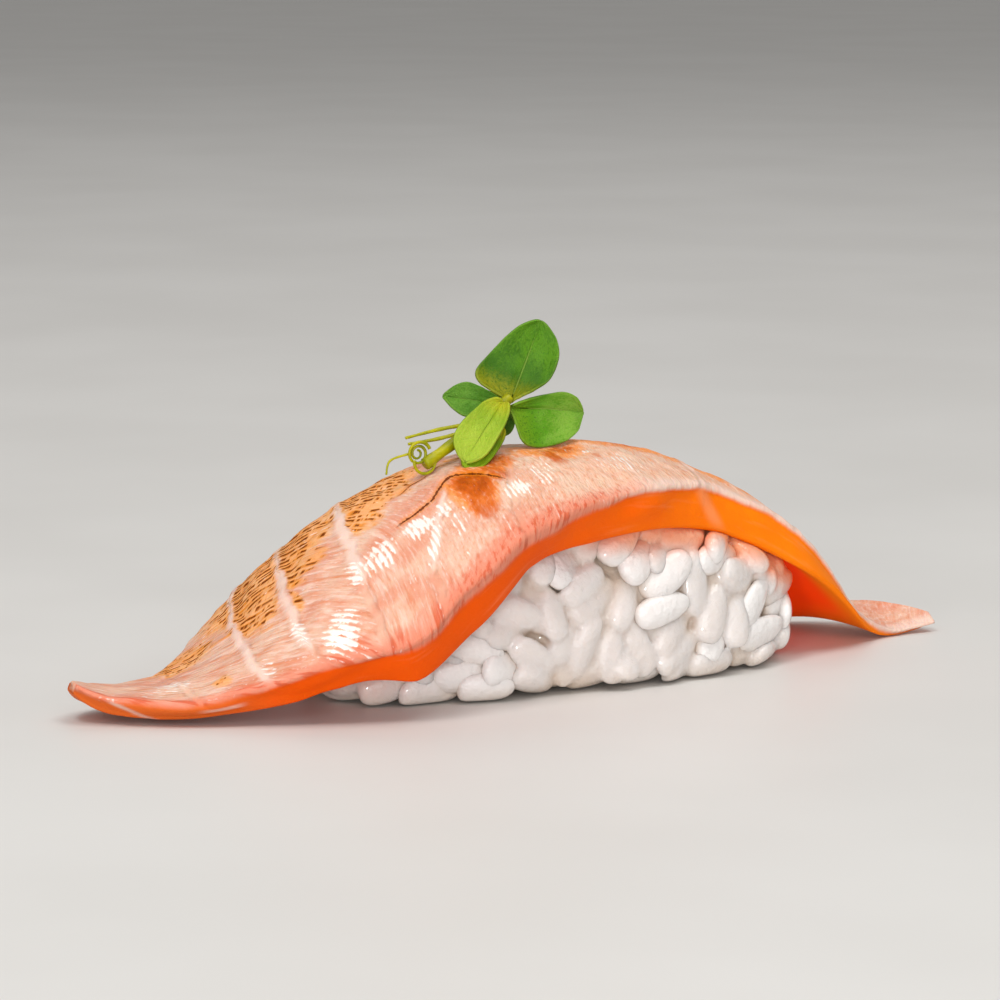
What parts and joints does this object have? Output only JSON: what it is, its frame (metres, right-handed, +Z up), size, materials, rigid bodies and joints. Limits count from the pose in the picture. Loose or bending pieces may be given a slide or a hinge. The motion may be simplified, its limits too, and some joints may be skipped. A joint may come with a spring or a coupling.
{
  "type": "salmon nigiri",
  "caption": "Seared salmon nigiri: a pressed finger of rice under a long draped slice of salmon, topped with a small sprig of pea shoot.",
  "frame": {"origin": "at table height, under the middle of the whole piece's bounding box", "axes": "+Z up; +X along the slice, from its narrow tail to its flared tail; -Y towards the side where the rice shows most"},
  "size_m": [0.1015, 0.0324, 0.0368],
  "materials": {
    "rice": "moist, slightly translucent cooked rice",
    "salmon": "oily seared salmon flesh, pale pink top with browned streaks, orange cut faces",
    "leaf": "satin fresh leaf"
  },
  "bodies": {
    "root": {"rice": "rice", "salmon_slice": "salmon", "pea_shoot": "leaf"}
  },
  "joints": []
}
